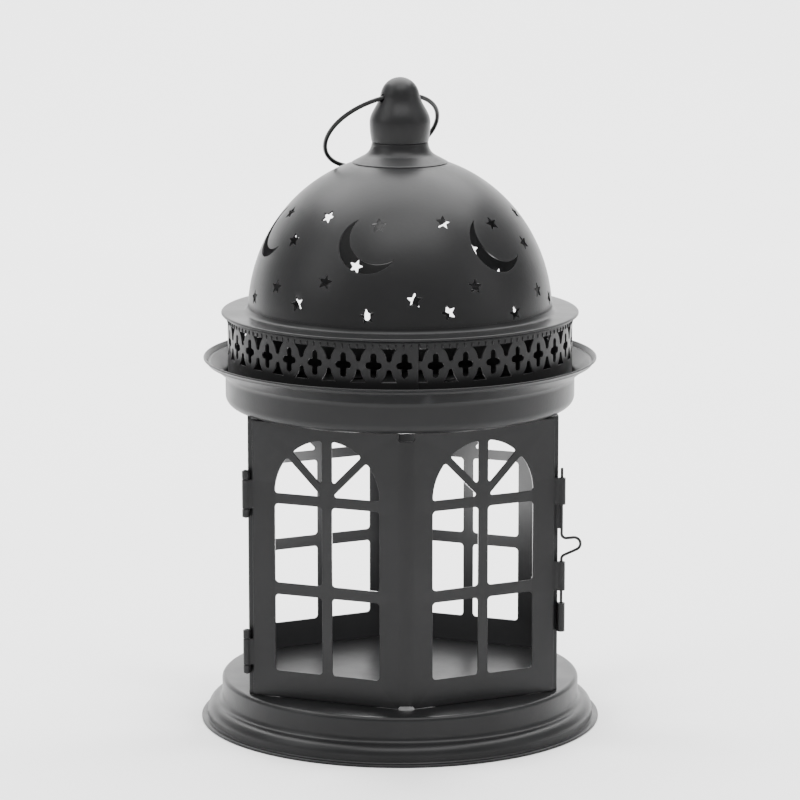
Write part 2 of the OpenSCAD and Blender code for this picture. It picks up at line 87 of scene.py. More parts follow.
BASE_R = base_high.x
FLOOR_Z = base_high.z
TRAY_Z = tray_low.z
TRAY_LIP_R = tray_high.x
TRAY_LIP_Z = tray_high.z
BAND_R = band_high.x
FLANGE_R = dome_high.x
FLANGE_Z = dome_low.z + 1.0

# ---------- sizes of the pressed sheet, as the frame's part has them ----------
SHEET = 0.6
HEM = 1.0                       # thickness of a folded-over edge
RIM = 0.11                      # rounding of a cut edge
SIDE_X, SIDE_Y, CORNER_Y = 53.2, 29.5, 53.5
FLOOR_WALL_R = 62.7
TRAY_WALL_R = 60.7
VENT_R = 36.0
DOME_R, DOME_H = 52.8, 55.0
DOME_Z = FLANGE_Z - 0.9
FILLET = 1.9                    # sweep from the dome into its flange
SCREW_HOLE_R = 2.2

front = np.array([0.0, -CORNER_Y])
back = np.array([0.0, CORNER_Y])
right_front = np.array([SIDE_X, -SIDE_Y])
right_back = np.array([SIDE_X, SIDE_Y])
left_front = np.array([-SIDE_X, -SIDE_Y])
bolt_xy = np.array([bolt_low.x + 0.5, (bolt_low.y + bolt_high.y) / 2])


# ---------- small geometry ----------
def unit(v):
    v = np.asarray(v, float)
    return v / np.linalg.norm(v)


def lengths(rows):
    return np.linalg.norm(rows, axis=1)[:, None]


def left_of(v):
    return np.array([-v[1], v[0]])


def cosd(angle):
    return math.cos(math.radians(angle))


def sind(angle):
    return math.sin(math.radians(angle))


def polar(angle):
    return np.array([cosd(angle), sind(angle)])


def bearing(v):
    """The angle of a flat direction, in degrees."""
    return math.degrees(math.atan2(v[1], v[0]))


def around(count):
    """Evenly spaced angles once round, in radians."""
    return np.linspace(0, 2 * math.pi, count, endpoint=False)


def arc(centre, r, a0, a1, n):
    return [np.asarray(centre) + r * polar(a) for a in np.linspace(a0, a1, n + 1)]


def fillet(before, at, after, r):
    """The arc that rounds the corner at a point: its centre, first angle and turn."""
    u, v = unit(before - at), unit(after - at)
    half = math.acos(float(np.clip(u @ v, -1, 1))) / 2
    centre = at + unit(u + v) * r / math.sin(half)
    start, end = at + u * r / math.tan(half) - centre, at + v * r / math.tan(half) - centre
    return centre, bearing(start), (bearing(end) - bearing(start) + 540) % 360 - 180


def rounded(corners, steps=5):
    """A closed outline whose corners (x, y, radius) are rounded."""
    points = []
    for i, (x, y, r) in enumerate(corners):
        p = np.array([x, y])
        if r == 0:
            points.append(p)
            continue
        before, after = (np.array(corners[k % len(corners)][:2]) for k in (i - 1, i + 1))
        centre, start, turn = fillet(before, p, after, r)
        points += arc(centre, r, start, start + turn, steps)
    return points


def area(loop):
    p = np.array(loop)
    q = np.roll(p, -1, axis=0)
    return float((p[:, 0] * q[:, 1] - q[:, 0] * p[:, 1]).sum()) / 2


def turned_to(loop, sign):
    return loop if area(loop) * sign > 0 else loop[::-1]


def corner_normals(edge_normals):
    """For each edge of a closed loop, the normals at its two ends: shared where the corner is soft."""
    n = np.asarray(edge_normals, float)
    before, after = np.roll(n, 1, axis=0), np.roll(n, -1, axis=0)

    def meet(a, b):
        soft = (a * b).sum(1) > SMOOTH
        mean = a + b
        mean /= np.maximum(lengths(mean), 1e-9)
        return np.where(soft[:, None], mean, a)
    return meet(n, before), meet(n, after)


def new_object(name, data):
    obj = bpy.data.objects.new(name, data)
    bpy.context.scene.collection.objects.link(obj)
    return obj


class Skin:
    """Collects faces with the exact normal at each corner, and becomes one object."""

    def __init__(self):
        self.points, self.faces, self.normals = [], [], []

    def add(self, points, faces, normals):
        start = len(self.points)
        self.points += [tuple(p) for p in points]
        self.faces += [tuple(start + i for i in f) for f in faces]
        self.normals += [tuple(n) for group in normals for n in group]

    def make(self, name, material, bodies, stands_for, slot):
        mesh = bpy.data.meshes.new(name)
        mesh.from_pydata((np.array(self.points) * MM).tolist(), [], self.faces)
        mesh.polygons.foreach_set("use_smooth", [True] * len(mesh.polygons))
        mesh.normals_split_custom_set(self.normals)
        mesh.materials.append(material)
        obj = new_object(name, mesh)
        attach(obj, bodies)
        if stands_for:
            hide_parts(*stands_for)
        return obj


# ---------- makers ----------
def lathe(skin, profile, segments=180):
    """Turns a closed (radius, height) outline about the Z axis."""
    p = np.array(turned_to([np.asarray(q, float) for q in profile], 1))
    d = np.roll(p, -1, axis=0) - p
    keep = np.linalg.norm(d, axis=1) > 1e-6
    p, d = p[keep], d[keep]
    d = np.roll(p, -1, axis=0) - p
    edge_n = np.stack([d[:, 1], -d[:, 0]], 1) / lengths(d)
    start_n, end_n = corner_normals(edge_n)
    turns = around(segments)
    c, s = np.cos(turns), np.sin(turns)
    points = [(r * c[k], r * s[k], z) for k in range(segments) for r, z in p]
    count = len(p)
    faces, normals = [], []
    for i in range(count):
        j = (i + 1) % count
        if p[i][0] < 1e-6 and p[j][0] < 1e-6:
            continue
        for k in range(segments):
            m = (k + 1) % segments

            def out(n, t):
                return (n[0] * c[t], n[0] * s[t], n[1])
            quad = [(i, k, start_n[i]), (i, m, start_n[i]), (j, m, end_n[i]), (j, k, end_n[i])]
            if p[i][0] < 1e-6:
                quad.pop(1)
            if p[j][0] < 1e-6:
                quad.pop(2)
            faces.append([t * count + v for v, t, _ in quad])
            normals.append([out(n, t) for _, t, n in quad])
    skin.add(points, faces, normals)


def lefts(v):
    """Each row turned a quarter anticlockwise."""
    return np.stack([-v[:, 1], v[:, 0]], 1)


def offset_loop(loop, distance):
    """Moves a closed loop to its left, mitring its corners."""
    p = np.array(loop)
    into = p - np.roll(p, 1, axis=0)
    into /= lengths(into)
    left_in = lefts(into)
    n = left_in + np.roll(left_in, -1, axis=0)
    n /= np.maximum(lengths(n), 1e-9)
    stretch = np.clip(1 / np.maximum((n * left_in).sum(1), 0.3), 1, 2.2)
    return p + n * (distance * stretch)[:, None]


def sheet_only(made):
    """The triangles between the outline and the holes: found by crossing outlines from outside."""
    walls = {tuple(sorted(e)) for e, source in zip(made[1], made[4]) if source}
    touching = {}
    for i, t in enumerate(made[2]):
        for a, b in zip(t, t[1:] + t[:1]):
            touching.setdefault((min(a, b), max(a, b)), []).append(i)
    depth = [None] * len(made[2])
    queue = []
    for edge, owners in touching.items():
        if len(owners) == 1 and depth[owners[0]] is None:
            depth[owners[0]] = 1 if edge in walls else 0
            queue.append(owners[0])
    while queue:
        i = queue.pop()
        t = made[2][i]
        for a, b in zip(t, t[1:] + t[:1]):
            edge = (min(a, b), max(a, b))
            for j in touching[edge]:
                if depth[j] is None:
                    depth[j] = depth[i] + (1 if edge in walls else 0)
                    queue.append(j)
    return [t for t, d in zip(made[2], depth) if d % 2 == 1]


def lay(flat, surface):
    """Where points of the flat plan go on a surface, and the outward normals there."""
    return (np.array(column) for column in zip(*[surface(q[0], q[1]) for q in flat]))


def pierced(skin, outer, holes, inner_points, surface, thickness=SHEET, rim=RIM):
    """A sheet with holes: outlines lie in the sheet's flat plan, and surface(u, v) gives the
    point and outward normal there."""
    loops = [turned_to(outer, 1)] + [turned_to(h, -1) for h in holes]
    flats, edges, spans = [], [], []
    for loop in loops:
        moved = offset_loop(loop, rim)
        start = len(flats)
        flats += [Vector(q) for q in moved]
        edges += [(start + i, start + (i + 1) % len(loop)) for i in range(len(loop))]
        spans.append((start, len(loop)))
    flats += [Vector(q) for q in inner_points]
    made = delaunay_2d_cdt(flats, edges, [], 0, 1e-5)
    flat, triangles = made[0], sheet_only(made)
    outside, normal = lay(flat, surface)
    inside = outside - normal * thickness
    count = len(flat)
    faces, normals = [], []
    for a, b, c in triangles:
        away = np.cross(outside[b] - outside[a], outside[c] - outside[a]) @ normal[a]
        if away < 0:
            a, c = c, a
        faces += [(a, b, c), (count + c, count + b, count + a)]
        normals += [(normal[a], normal[b], normal[c]), (-normal[c], -normal[b], -normal[a])]
    skin.add(np.concatenate([outside, inside]), faces, normals)
    for loop in loops:
        top, up = lay(offset_loop(loop, rim), surface)
        cut, cut_up = lay(loop, surface)
        along = np.roll(cut, -1, axis=0) - cut
        away = np.cross(along, cut_up)
        flip = handed(surface, loop[0])
        away *= flip / np.maximum(lengths(away), 1e-9)
        start_n, end_n = corner_normals(away)
        rings = [top, cut - cut_up * rim, cut - cut_up * (thickness - rim), top - up * thickness]
        n = len(loop)
        points = np.concatenate(rings)
        faces, normals = [], []
        for i in range(n):
            j = (i + 1) % n
            for k, (na, nb) in enumerate([("up", "side"), ("side", "side"), ("side", "down")]):
                kinds = {"up": (up[i], up[j]), "down": (-up[i], -up[j]), "side": (start_n[i], end_n[i])}
                quad = [k * n + i, (k + 1) * n + i, (k + 1) * n + j, k * n + j]
                quad_n = [kinds[na][0], kinds[nb][0], kinds[nb][1], kinds[na][1]]
                if flip < 0:
                    quad, quad_n = quad[::-1], quad_n[::-1]
                faces.append(quad)
                normals.append(quad_n)
        skin.add(points, faces, normals)


def handed(surface, at):
    """1 if u, v and the outward normal are right handed, or -1."""
    step = 0.01
    points, n = lay([at, (at[0] + step, at[1]), (at[0], at[1] + step)], surface)
    return 1 if np.cross(points[1] - points[0], points[2] - points[0]) @ n[0] > 0 else -1


def tube(skin, path, r, closed=False, sides=14):
    """Round wire along a dense path."""
    p = np.array(path)
    ahead = np.roll(p, -1, axis=0) - np.roll(p, 1, axis=0)
    if not closed:
        ahead[0], ahead[-1] = p[1] - p[0], p[-1] - p[-2]
    ahead /= lengths(ahead)
    across = unit(np.cross(ahead[0], [0.3, 0.5, 0.8]))
    rings, outs = [], []
    for q, t in zip(p, ahead):
        across = unit(across - t * (across @ t))
        other = np.cross(t, across)
        ring_n = [across * math.cos(a) + other * math.sin(a)
                  for a in around(sides)]
        rings.append([q + n * r for n in ring_n])
        outs.append(ring_n)
    if not closed:
        for at, sign in ((0, -1), (-1, 1)):
            caps, cap_n = [], []
            for a in (30, 60, 85):
                c, s = polar(a)
                tip = p[at] + ahead[at] * sign * r * s * 0.7
                caps.append([tip + n * r * c for n in outs[at]])
                cap_n.append([unit(n * c + ahead[at] * sign * s) for n in outs[at]])
            if sign < 0:
                rings, outs = caps[::-1] + rings, cap_n[::-1] + outs
            else:
                rings, outs = rings + caps, outs + cap_n
    count = len(rings)
    faces, normals = [], []
    for i in range(count if closed else count - 1):
        j = (i + 1) % count
        for k in range(sides):
            m = (k + 1) % sides
            faces.append([i * sides + k, i * sides + m, j * sides + m, j * sides + k])
            normals.append([outs[i][k], outs[i][m], outs[j][m], outs[j][k]])
    if not closed:
        faces += [list(range(sides))[::-1], [(count - 1) * sides + k for k in range(sides)]]
        normals += [[-ahead[0]] * sides, [ahead[-1]] * sides]
    skin.add([q for ring in rings for q in ring], faces, normals)


def prism(skin, outline, z0, z1, rim=RIM):
    """A flat outline (x, y) drawn up from z0 to z1, with softened edges."""
    loop = turned_to([np.asarray(q, float) for q in outline], 1)
    small = offset_loop(loop, rim)
    p = np.array(loop)
    d = np.roll(p, -1, axis=0) - p
    away = np.stack([d[:, 1], -d[:, 0], np.zeros(len(p))], 1) / lengths(d)
    start_n, end_n = corner_normals(away)
    levels = [(small, z0), (p, z0 + rim), (p, z1 - rim), (small, z1)]
    n = len(p)
    points = [(q[0], q[1], z) for ring, z in levels for q in ring]
    up = np.array([0.0, 0.0, 1.0])
    faces, normals = [list(range(n))[::-1], [3 * n + i for i in range(n)]], [[-up] * n, [up] * n]
    for i in range(n):
        j = (i + 1) % n
        for k, (a, b) in enumerate([(-up, None), (None, None), (None, up)]):
            low = (start_n[i], end_n[i]) if a is None else (a, a)
            high = (start_n[i], end_n[i]) if b is None else (b, b)
            faces.append([k * n + i, k * n + j, (k + 1) * n + j, (k + 1) * n + i])
            normals.append([low[0], low[1], high[1], high[0]])
    skin.add(points, faces, normals)


def placed(part, matrix):
    """A copy of a skin's contents, moved by a matrix in millimetres."""
    turn = np.array(matrix.to_3x3())
    shift = np.array(matrix.translation)
    moved = Skin()
    moved.points = [tuple(turn @ np.array(p) + shift) for p in part.points]
    moved.faces = list(part.faces)
    moved.normals = [tuple(turn @ np.array(n)) for n in part.normals]
    return moved


def join(skin, other):
    start = len(skin.points)
    skin.points += other.points
    skin.faces += [tuple(start + i for i in f) for f in other.faces]
    skin.normals += other.normals


# ---------- materials ----------
def wired(tree, made, **inputs):
    """Sets or links a node's inputs and settings, by name."""
    for key, value in inputs.items():
        name = key.replace("_", " ")
        if name in made.inputs:
            socket = made.inputs[name]
            if hasattr(value, "is_output"):
                tree.links.new(value, socket)
            else:
                socket.default_value = value
        else:
            setattr(made, key, value)
    return made


def node(tree, kind, **inputs):
    return wired(tree, tree.nodes.new(kind), **inputs)


def noise(tree, place, scale, detail, roughness=0.5):
    made = node(tree, "ShaderNodeTexNoise", Vector=place, Scale=scale, Detail=detail, Roughness=roughness)
    return made.outputs["Fac"]


def ramp(tree, fac, stops):
    made = node(tree, "ShaderNodeValToRGB", Fac=fac)
    elements = made.color_ramp.elements
    while len(elements) < len(stops):
        elements.new(0.5)
    for element, (at, value) in zip(elements, stops):
        element.position = at
        element.color = (*value, 1) if isinstance(value, tuple) else (value, value, value, 1)
    return made.outputs["Color"]


def new_material(name):
    material = bpy.data.materials.new(name)
    material.use_nodes = True
    tree = material.node_tree
    return material, tree, tree.nodes["Principled BSDF"], node(tree, "ShaderNodeTexCoord").outputs["Object"]


PEEL, GRAIN = 900.0, 9000.0     # scales of the paint's orange peel and of its fine grain
WORN, WORN_TONE = 0.25, (0.06, 0.06, 0.062, 1)
PAINT_IOR, PAINT_SHEEN = 1.5, 0.21


def satin_paint(name, dark, light, rough):
    """Stoved satin paint: cloudy tone, fine orange peel, and slight polish on the edges."""
    material, tree, shader, place = new_material(name)
    tone = ramp(tree, noise(tree, place, 28.0, 3.0), [(0.3, dark), (0.7, light)])
    edge = ramp(tree, node(tree, "ShaderNodeNewGeometry").outputs["Pointiness"], [(0.52, 0.0), (0.62, WORN)])
    bright = node(tree, "ShaderNodeMixRGB", Fac=edge, Color1=tone, Color2=WORN_TONE)
    gloss = node(tree, "ShaderNodeMapRange", Value=noise(tree, place, 70.0, 4.0, 0.6), From_Min=0.3,
                 From_Max=0.7, To_Min=rough - 0.03, To_Max=rough + 0.04)
    wave = node(tree, "ShaderNodeBump", Strength=0.10, Distance=0.0002, Height=noise(tree, place, PEEL, 2.0))
    bump = node(tree, "ShaderNodeBump", Strength=0.06, Distance=0.00005,
                Height=noise(tree, place, GRAIN, 1.0), Normal=wave.outputs["Normal"])
    wired(tree, shader, Base_Color=bright.outputs["Color"], Roughness=gloss.outputs["Result"],
          Normal=bump.outputs["Normal"], IOR=PAINT_IOR, Specular_IOR_Level=PAINT_SHEEN)
    return material


def plated(name):
    """Zinc plated fasteners: mottled bright metal with turning marks."""
    material, tree, shader, place = new_material(name)
    spangle = node(tree, "ShaderNodeTexVoronoi", Vector=place, Scale=1600.0)
    tone = ramp(tree, spangle.outputs["Distance"], [(0.1, (0.42, 0.43, 0.45)), (0.8, (0.6, 0.61, 0.62))])
    marks = noise(tree, place, 2400.0, 3.0)
    rough = node(tree, "ShaderNodeMapRange", Value=marks, To_Min=0.22, To_Max=0.42)
    bump = node(tree, "ShaderNodeBump", Strength=0.15, Distance=0.0001, Height=marks)
    wired(tree, shader, Base_Color=tone, Roughness=rough.outputs["Result"], Normal=bump.outputs["Normal"],
          Metallic=1.0)
    return material


paint = satin_paint("satin_black_sheet", (0.0080, 0.0080, 0.0084), (0.0115, 0.0115, 0.0120), 0.35)
wire_paint = satin_paint("satin_black_wire", (0.008, 0.008, 0.0085), (0.011, 0.011, 0.0115), 0.30)
rivet_paint = satin_paint("satin_black_rivets", (0.009, 0.009, 0.0095), (0.012, 0.012, 0.0125), 0.32)
zinc = plated("zinc_plated")


# ---------- profiles of the pressed sheet ----------
def beside(path, distance):
    """The same open path, moved to its left."""
    p = np.array(path)
    d = np.diff(p, axis=0)
    d /= lengths(d)
    left_in = lefts(np.vstack([d[:1], d]))
    n = left_in + lefts(np.vstack([d, d[-1:]]))
    n /= lengths(n)
    return p + n * (distance / (n * left_in).sum(1))[:, None]


def sheet_profile(path, distance, edge=()):
    other = beside(path, distance)
    other[:, 0] = np.maximum(other[:, 0], 0)
    return list(path) + list(edge) + list(other[::-1])


# ---------- base pan ----------
def make_base():
    skin = Skin()
    edge_r, bulge_r = 1.5, 3.5
    bulge = (64.2, 3.1)
    bulge_side = bulge[0] + bulge_r
    path = ([(0, FLOOR_Z), (40.0, FLOOR_Z)]
            + arc([FLOOR_WALL_R - edge_r, FLOOR_Z - edge_r], edge_r, 90, 0, 8)
            + arc([FLOOR_WALL_R + FILLET, 8.5], FILLET, 180, 262, 8)
            + arc(bulge, bulge_r, 80, -12, 14)
            + [(bulge_side + 0.15, HEM + 0.25), (bulge_side + 0.4, HEM)])
    lip = ([(BASE_R - HEM / 2, HEM)] + arc([BASE_R - HEM / 2, HEM / 2], HEM / 2, 90, -90, 8)
           + [(bulge_side - SHEET, 0)])
    lathe(skin, sheet_profile(path, -SHEET, lip), 240)
    return skin


# ---------- bent sheet ----------
class Bent:
    """An upright sheet that follows a path in plan. Each sample holds the distance along it,
    the point on the outer face and the outward normal."""

    def __init__(self):
        self.s, self.p, self.n = [], [], []

    def add(self, point, normal):
        step = float(np.linalg.norm(point - self.p[-1])) if self.p else 0.0
        self.s.append((self.s[-1] if self.s else 0.0) + step)
        self.p.append(np.asarray(point, float))
        self.n.append(unit(normal))

    def corner(self, before, at, after, r, n):
        """A rounded corner at a point, from the side of before to the side of after."""
        centre, start, turn = fillet(before, at, after, r)
        for a in np.linspace(start, start + turn, n + 1):
            self.add(centre + r * polar(a), polar(a))

    def surface(self, s, z):
        at = np.interp(s, self.s, range(len(self.s)))
        i = min(int(at), len(self.s) - 2)
        f = at - i
        p = self.p[i] * (1 - f) + self.p[i + 1] * f
        n = unit(self.n[i] * (1 - f) + self.n[i + 1] * f)
        over = s - min(max(s, self.s[0]), self.s[-1])
        p = p + over * np.array([-n[1], n[0]])
        return np.array([p[0], p[1], z]), np.array([n[0], n[1], 0.0])


def columns(bent, s0, s1, z0, z1, step):
    """Points in the flat plan at the path's own samples, so that bends stay round."""
    inside = [s for s in bent.s if s0 < s < s1]
    heights = np.linspace(z0, z1, max(2, int((z1 - z0) / step) + 1))[1:-1]
    return [(s, z) for s in inside for z in heights]


# ---------- windows ----------
WINDOW_W, WINDOW_Z, ARCH_Z = 38.5, 25.0, 87.3
BAR, FAN_BAR = 3.7, 2.7
LEVEL_BARS = [(51.9, 56.0), (83.6, 87.2)]
PANE_R = 1.3


def window_panes(centre):
    """The eight openings of one window, in the flat plan of its face."""
    half, inner = WINDOW_W / 2, BAR / 2
    rows = [(WINDOW_Z, LEVEL_BARS[0][0]), (LEVEL_BARS[0][1], LEVEL_BARS[1][0])]
    panes = [[(inner, z0, PANE_R), (half, z0, PANE_R), (half, z1, PANE_R), (inner, z1, PANE_R)]
             for z0, z1 in rows]
    low = LEVEL_BARS[1][1]
    slant = FAN_BAR / 2 * math.sqrt(2)
    lean = math.degrees(math.asin(FAN_BAR / 2 / half))
    low_r, high_r = 0.7, 0.9

    def on_arch(angle, r=0.0):
        q = half * polar(angle)
        return (q[0], ARCH_Z + q[1], r)
    lower = [(slant + low - ARCH_Z, low, low_r), (math.sqrt(half ** 2 - (low - ARCH_Z) ** 2), low, high_r)]
    lower += [on_arch(a) for a in np.linspace(5, 45 - lean - 4, 10)] + [on_arch(45 - lean, high_r)]
    top = 90 - math.degrees(math.asin(inner / half))
    upper = [(inner, ARCH_Z + inner + slant, low_r), on_arch(45 + lean, high_r)]
    upper += [on_arch(a) for a in np.linspace(45 + lean + 4, top - 4, 8)] + [on_arch(top, high_r)]
    right = [rounded(p) for p in panes + [lower, upper]]
    both = right + [[np.array([-q[0], q[1]]) for q in loop] for loop in right]
    return [[(centre + q[0], q[1]) for q in loop] for loop in both]


# ---------- walls ----------
WALL_BEND = 2.2
JAMB_GAP, JAMB_W = 0.5, 6.0
SEAM_DEPTH, SEAM_X = 9.0, 0.03
KEEPER = (36.9, 47.0)
BACKING, BACKING_W, BACKING_IN = (72.6, 81.4), 1.6, 1.6
STRIP_IN = 1.9                  # where a rolled strip leaves the side face, from its front corner
CURL_TURN, DOOR_TURN = 325, 300   # how far the wall's and the door's tabs are rolled round a pin
HINGES = [(78.2, 94.2), (23.3, 38.4)]
EAR_H, EAR_GAP = 2.8, 0.2
TAB_W, TAB_FOLD, TAB_AT = 7.0, 5.0, 12.0


def curl(bent, start, normal, centre, r, turn, away=1):
    """From start, run straight to the circle about centre and roll round it. Positive turn is
    anticlockwise. The outer face is toward the centre, or away from it if away is -1."""
    side = 1 if turn > 0 else -1
    gap = centre - start
    far = np.linalg.norm(gap)
    lean = math.degrees(math.asin(min(1.0, r / far)))
    toward = bearing(gap) - side * lean
    reach = math.sqrt(max(far ** 2 - r ** 2, 0.0))
    touch = start + reach * polar(toward)
    bent.add(start, normal)
    bent.add(touch, left_of(polar(toward)) * side * away)
    start = bearing(touch - centre)
    for a in np.linspace(start, start + turn, 26)[1:]:
        bent.add(centre + r * polar(a), -polar(a) * away)


def wall_path():
    along = unit(right_front - front)
    inward = left_of(along)
    jamb_line = right_front + inward * (SHEET + JAMB_GAP)
    jamb_corner = jamb_line + along * (right_front[0] - jamb_line[0]) / along[0]
    seam_top = np.array([SEAM_X, CORNER_Y - SEAM_X * (CORNER_Y - SIDE_Y) / SIDE_X])
    bent = Bent()
    bent.add(jamb_corner - along * JAMB_W, -inward)
    bent.corner(jamb_corner - along, jamb_corner, right_back, 0.8, 6)
    bent.corner(jamb_corner, right_back, seam_top, WALL_BEND, 8)
    bent.corner(right_back, seam_top, np.array([SEAM_X, 0]), 0.8, 8)
    bent.add(np.array([SEAM_X, CORNER_Y - SEAM_DEPTH]), np.array([-1.0, 0.0]))
    return bent


def outline_of(bent, z0, z1):
    low = [(s, z0) for s in bent.s]
    high = [(s, z1) for s in reversed(bent.s)]
    return low + [(bent.s[-1], (z0 + z1) / 2)] + high + [(bent.s[0], (z0 + z1) / 2)]


def knuckle_strip(skin, centre, span, r):
    """A strip that leaves the side wall's face and rolls round a pin in front of it."""
    bent = Bent()
    start = np.array([SIDE_X, STRIP_IN - SIDE_Y])
    curl(bent, start, np.array([1.0, 0.0]), centre, r, CURL_TURN)
    grid = columns(bent, bent.s[0], bent.s[-1], *span, 0.5)
    pierced(skin, outline_of(bent, *span), [], grid, bent.surface)


def wall_tabs(skin):
    for a, b in ((right_front, right_back), (right_back, back)):
        d = unit(b - a)
        n = left_of(d)
        for at in (-TAB_AT, TAB_AT):
            p = (a + b) / 2 + d * (at - TAB_W / 2)
            for z, up in ((TRAY_Z, 1), (FLOOR_Z, -1)):
                plan = [p, p + d * TAB_W, p + d * TAB_W + n * TAB_FOLD, p + n * TAB_FOLD]
                levels = sorted((z + up * (SHEET + 0.05), z + up * (2 * SHEET + 0.05)))
                corners = [(*q, r) for q, r in zip(plan, (0.4, 0.4, 1.2, 1.2))]
                prism(skin, rounded(corners), *levels)


def make_wall():
    skin = Skin()
    bent = wall_path()
    z0, z1 = FLOOR_Z + 0.01, TRAY_Z - 0.01
    mids = [(right_front + right_back) / 2, (right_back + back) / 2]
    flat = []
    for mid in mids:
        best = min(range(len(bent.s) - 1), key=lambda i: abs(
            np.linalg.norm(bent.p[i] - mid) + np.linalg.norm(bent.p[i + 1] - mid)
            - np.linalg.norm(bent.p[i + 1] - bent.p[i])))
        flat.append(bent.s[best] + float(np.linalg.norm(mid - bent.p[best])))
    holes = [pane for s in flat for pane in window_panes(s)]
    grid = columns(bent, bent.s[0], bent.s[-1], z0, z1, 6)
    pierced(skin, outline_of(bent, z0, z1), holes, grid, bent.surface)
    wall_tabs(skin)
    return skin


def mirrored(skin):
    made = Skin()
    made.points = [(-x, y, z) for x, y, z in skin.points]
    made.faces = [f[::-1] for f in skin.faces]
    at = 0
    for f in skin.faces:
        made.normals += [(-x, y, z) for x, y, z in skin.normals[at:at + len(f)][::-1]]
        at += len(f)
    return made


# ---------- door ----------
DOOR_Z0, DOOR_Z1 = FLOOR_Z + 0.14, TRAY_Z - 0.35
DOOR_BEND = 7.0
EDGE_GAP = 1.6
GUIDES = [(81.6, 90.9), (51.4, 61.5)]
NOTCH_W, NOTCH_TOP, NOTCH_BOTTOM = 6.0, 3.4, 1.0
CURL_R = 0.72


def make_door():
    skin = Skin()
    to_left, to_right = unit(left_front - front), unit(right_front - front)
    left_n, right_n = left_of(to_left), -left_of(to_right)
    left_edge = left_front - to_left * EDGE_GAP
    right_edge = right_front - to_right * EDGE_GAP
    rolled_left, rolled_right, bent = Bent(), Bent(), Bent()
    curl(rolled_left, left_edge, left_n, hinge_xy, CURL_R + SHEET, -DOOR_TURN, -1)
    curl(rolled_right, right_edge, right_n, bolt_xy, CURL_R + SHEET, DOOR_TURN, -1)
    total = rolled_left.s[-1]
    for p, n in list(zip(rolled_left.p, rolled_left.n))[::-1]:
        bent.add(p, n)
    bent.corner(left_front, front, right_front, DOOR_BEND, 14)
    for p, n in zip(rolled_right.p, rolled_right.n):
        bent.add(p, n)
    s_left, s_right = total, bent.s[-1] - rolled_right.s[-1]
    hinge_mid = [(a + EAR_H + EAR_GAP, b - EAR_H - EAR_GAP) for a, b in HINGES]
    tab_r = 0.5
    middle = bent.s[[i for i, p in enumerate(bent.p) if abs(p[0]) < 1e-6][0]]

    def notch(z_edge, z_in):
        side = 1 if z_in > z_edge else -1
        return [(middle - NOTCH_W / 2, z_edge), (middle - NOTCH_W / 2, z_in - side * 0.8),
                (middle - NOTCH_W / 2 + 0.8, z_in), (middle + NOTCH_W / 2 - 0.8, z_in),
                (middle + NOTCH_W / 2, z_in - side * 0.8), (middle + NOTCH_W / 2, z_edge)]

    def edge_run(s_edge, s_far, tabs, upward):
        """The door's upright edge with its tabs."""
        run = []
        away = [s for s in bent.s if min(s_edge, s_far) < s < max(s_edge, s_far)]
        away = sorted(away, reverse=s_far < s_edge)
        for z0, z1 in sorted(tabs):
            run += [(s_edge, z0)] + [(s, z0) for s in away] + [(s_far, z0 + tab_r)]
            run += [(s_far, z1 - tab_r)] + [(s, z1) for s in away[::-1]] + [(s_edge, z1)]
        return run if upward else run[::-1]
    across = [s for s in bent.s if s_left < s < s_right and abs(s - middle) > NOTCH_W / 2]
    left_half, right_half = [s for s in across if s < middle], [s for s in across if s > middle]
    outline = [(s_left, DOOR_Z0)] + [(s, DOOR_Z0) for s in left_half]
    outline += notch(DOOR_Z0, DOOR_Z0 + NOTCH_BOTTOM)
    outline += [(s, DOOR_Z0) for s in right_half] + [(s_right, DOOR_Z0)]
    outline += edge_run(s_right, bent.s[-1], GUIDES, True)
    outline += [(s_right, DOOR_Z1)] + [(s, DOOR_Z1) for s in right_half[::-1]]
    outline += notch(DOOR_Z1, DOOR_Z1 - NOTCH_TOP)[::-1]
    outline += [(s, DOOR_Z1) for s in left_half[::-1]] + [(s_left, DOOR_Z1)]
    outline += edge_run(s_left, bent.s[0], hinge_mid, False)
    face = float(np.linalg.norm(left_front - front))
    centre_l = s_left + face / 2 - EDGE_GAP
    centre_r = s_right - face / 2 + EDGE_GAP
    holes = window_panes(centre_l) + window_panes(centre_r)
    grid = columns(bent, s_left, s_right, DOOR_Z0 + NOTCH_BOTTOM + 1, DOOR_Z1 - NOTCH_TOP - 1, 4)
    for tabs, s0, s1, beside_s in ((hinge_mid, bent.s[0], s_left + 1e-3, s_left + 0.6),
                                   (GUIDES, s_right - 1e-3, bent.s[-1], s_right - 0.6)):
        for z0, z1 in tabs:
            grid += columns(bent, s0, s1, z0, z1, 0.5)
            grid += [(beside_s, z) for z in np.linspace(z0, z1, 20)]
    pierced(skin, outline, holes, grid, bent.surface)
    for a, b in ((left_front, front), (front, right_front)):
        d = unit(b - a)
        n = left_of(d)
        p, q = a + d * (JAMB_W + 5), b - d * (JAMB_W + 5)
        plan = [p + n * SHEET * 0.8, q + n * SHEET * 0.8, q + n * 4 - d, p + n * 4 + d]
        prism(skin, plan, DOOR_Z0, DOOR_Z0 + SHEET)
        prism(skin, plan, DOOR_Z1 - SHEET, DOOR_Z1)
    return skin


# ---------- latch bolt ----------
BOLT_R = 0.5


